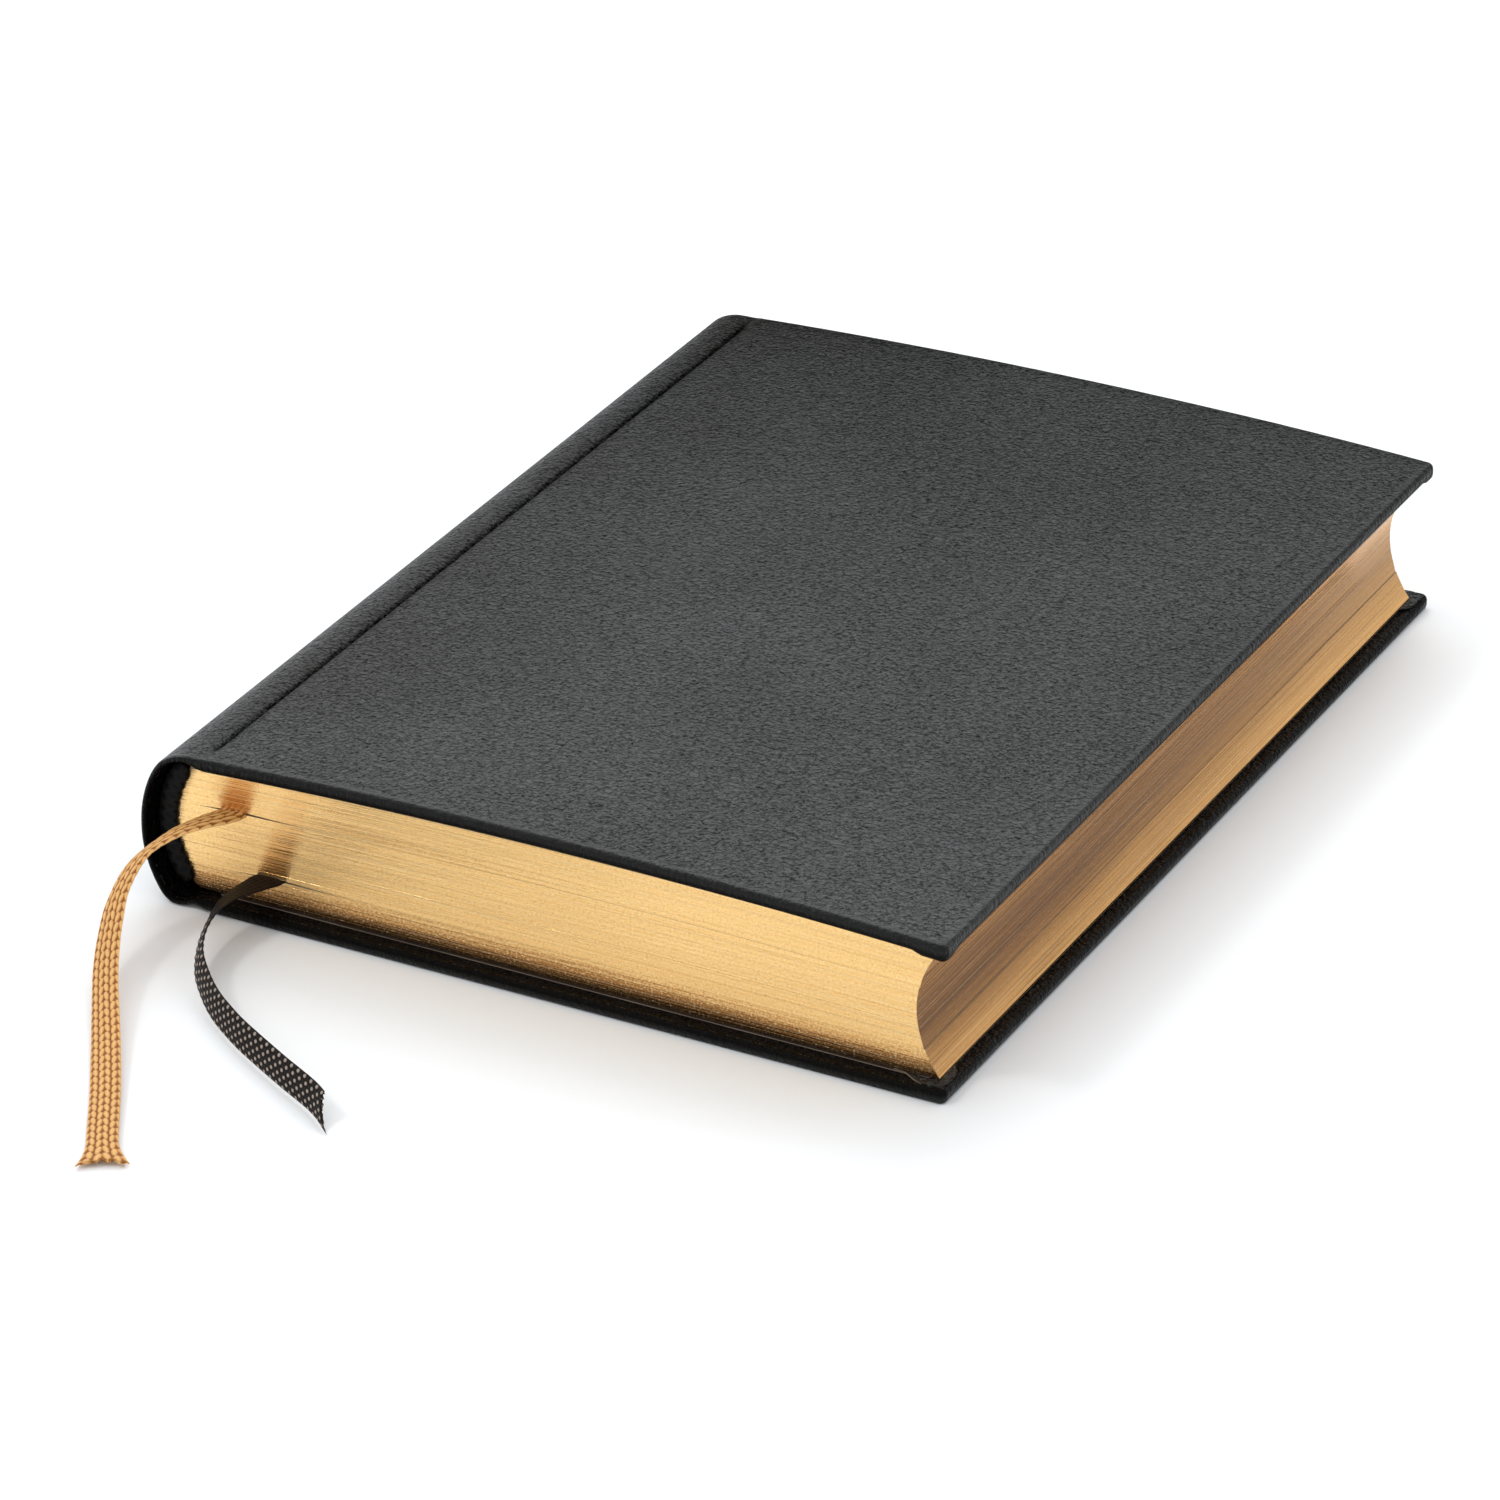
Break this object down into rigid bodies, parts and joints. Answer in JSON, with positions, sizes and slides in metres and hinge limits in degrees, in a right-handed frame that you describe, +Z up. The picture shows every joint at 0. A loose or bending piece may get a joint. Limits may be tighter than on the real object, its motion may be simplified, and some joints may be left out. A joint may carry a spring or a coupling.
{
  "type": "bible",
  "caption": "Case-bound book with leather cover, rounded hollow spine, gilt page edges, turning leaves and ribbon markers; front cover opens on the front joint.",
  "frame": {"origin": "centre of the back cover's resting face, midway between the spine's outermost line and the fore edge", "axes": "+X from spine to fore edge, +Y from tail to head, +Z up through the shut book"},
  "size_m": [0.15, 0.2815, 0.0307],
  "materials": {
    "cover_leather": "fine grained charcoal leather, satin",
    "board_card": "matt card",
    "endpaper": "dark brown-black endpaper, matt",
    "gilt_edged_paper": "thin cream paper with gilt edges",
    "lining_paper": "brown lining paper",
    "mull_cloth": "open weave cotton",
    "thread": "linen thread",
    "band_braid": "dark braided cord",
    "gold_ribbon": "knitted gold ribbon, soft sheen",
    "brown_ribbon": "knitted dark brown ribbon with pale flecks"
  },
  "bodies": {
    "back_cover": {"back_board": "board_card", "back_cover_leather": "cover_leather", "back_infill": "board_card", "back_pastedown": "endpaper"},
    "text_block": {"section_01": "gilt_edged_paper", "section_02": "gilt_edged_paper", "section_03": "gilt_edged_paper", "section_04": "gilt_edged_paper", "section_05": "gilt_edged_paper", "section_06": "gilt_edged_paper", "section_07": "gilt_edged_paper", "section_08": "gilt_edged_paper", "section_09": "gilt_edged_paper", "section_10": "gilt_edged_paper", "section_11": "gilt_edged_paper", "section_12": "gilt_edged_paper", "section_13": "gilt_edged_paper", "section_14": "gilt_edged_paper", "back_flyleaf": "endpaper", "leaf_stubs": "gilt_edged_paper", "sewing_threads": "thread", "mull": "mull_cloth", "spine_lining": "lining_paper", "spine_inlay": "board_card", "spine_leather": "cover_leather", "headband": "band_braid", "tailband": "band_braid", "gold_ribbon_inner": "gold_ribbon", "brown_ribbon_inner": "brown_ribbon"},
    "front_cover": {"front_board": "board_card", "front_cover_leather": "cover_leather", "front_infill": "board_card", "front_pastedown": "endpaper"},
    "front_flyleaf_sheet": {"front_flyleaf": "endpaper"},
    "leaf_1_sheet": {"leaf_1": "gilt_edged_paper"},
    "leaf_2_sheet": {"leaf_2": "gilt_edged_paper"},
    "leaf_3_sheet": {"leaf_3": "gilt_edged_paper"},
    "leaf_4_sheet": {"leaf_4": "gilt_edged_paper"},
    "leaf_5_sheet": {"leaf_5": "gilt_edged_paper"},
    "leaf_6_sheet": {"leaf_6": "gilt_edged_paper"},
    "gold_ribbon": {"gold_ribbon_tail": "gold_ribbon"},
    "brown_ribbon": {"brown_ribbon_tail": "brown_ribbon"}
  },
  "joints": [
    {"name": "back_joint", "type": "hinge", "parent": "back_cover", "child": "text_block", "pos_m": [-0.0702, 0, 0], "axis": [0, 1, 0], "range_deg": [-50, 0]},
    {"name": "front_joint", "type": "hinge", "parent": "text_block", "child": "front_cover", "pos_m": [-0.063, 0, 0.0292], "axis": [0, -1, 0], "range_deg": [0, 180]},
    {"name": "front_flyleaf_turn", "type": "hinge", "parent": "text_block", "child": "front_flyleaf_sheet", "pos_m": [-0.063, 0, 0.0292], "axis": [0, -1, 0], "range_deg": [0, 172.4]},
    {"name": "leaf_1_turn", "type": "hinge", "parent": "text_block", "child": "leaf_1_sheet", "pos_m": [-0.063, 0, 0.0292], "axis": [0, -1, 0], "range_deg": [0, 155.3]},
    {"name": "leaf_2_turn", "type": "hinge", "parent": "text_block", "child": "leaf_2_sheet", "pos_m": [-0.063, 0, 0.0292], "axis": [0, -1, 0], "range_deg": [0, 133.7]},
    {"name": "leaf_3_turn", "type": "hinge", "parent": "text_block", "child": "leaf_3_sheet", "pos_m": [-0.063, 0, 0.0292], "axis": [0, -1, 0], "range_deg": [0, 108.5]},
    {"name": "leaf_4_turn", "type": "hinge", "parent": "text_block", "child": "leaf_4_sheet", "pos_m": [-0.063, 0, 0.0292], "axis": [0, -1, 0], "range_deg": [0, 81.5]},
    {"name": "leaf_5_turn", "type": "hinge", "parent": "text_block", "child": "leaf_5_sheet", "pos_m": [-0.063, 0, 0.0292], "axis": [0, -1, 0], "range_deg": [0, 54.5]},
    {"name": "leaf_6_turn", "type": "hinge", "parent": "text_block", "child": "leaf_6_sheet", "pos_m": [-0.063, 0, 0.0292], "axis": [0, -1, 0], "range_deg": [0, 29.3]},
    {"name": "gold_ribbon_sway", "type": "hinge", "parent": "text_block", "child": "gold_ribbon", "pos_m": [-0.0588, -0.0965, 0.01835], "axis": [0, 1, 0], "range_deg": [0, 50.5]},
    {"name": "brown_ribbon_sway", "type": "hinge", "parent": "text_block", "child": "brown_ribbon", "pos_m": [-0.0518, -0.0965, 0.00755], "axis": [0, 1, 0], "range_deg": [0, 50.5]}
  ],
  "couplings": [
    {"joint": "front_flyleaf_turn", "follows": "front_joint", "ratio": 0.955},
    {"joint": "leaf_1_turn", "follows": "front_joint", "ratio": 0.86},
    {"joint": "leaf_2_turn", "follows": "front_joint", "ratio": 0.74},
    {"joint": "leaf_3_turn", "follows": "front_joint", "ratio": 0.6},
    {"joint": "leaf_4_turn", "follows": "front_joint", "ratio": 0.45},
    {"joint": "leaf_5_turn", "follows": "front_joint", "ratio": 0.3},
    {"joint": "leaf_6_turn", "follows": "front_joint", "ratio": 0.16},
    {"joint": "gold_ribbon_sway", "follows": "back_joint", "ratio": -1},
    {"joint": "brown_ribbon_sway", "follows": "back_joint", "ratio": -1}
  ]
}
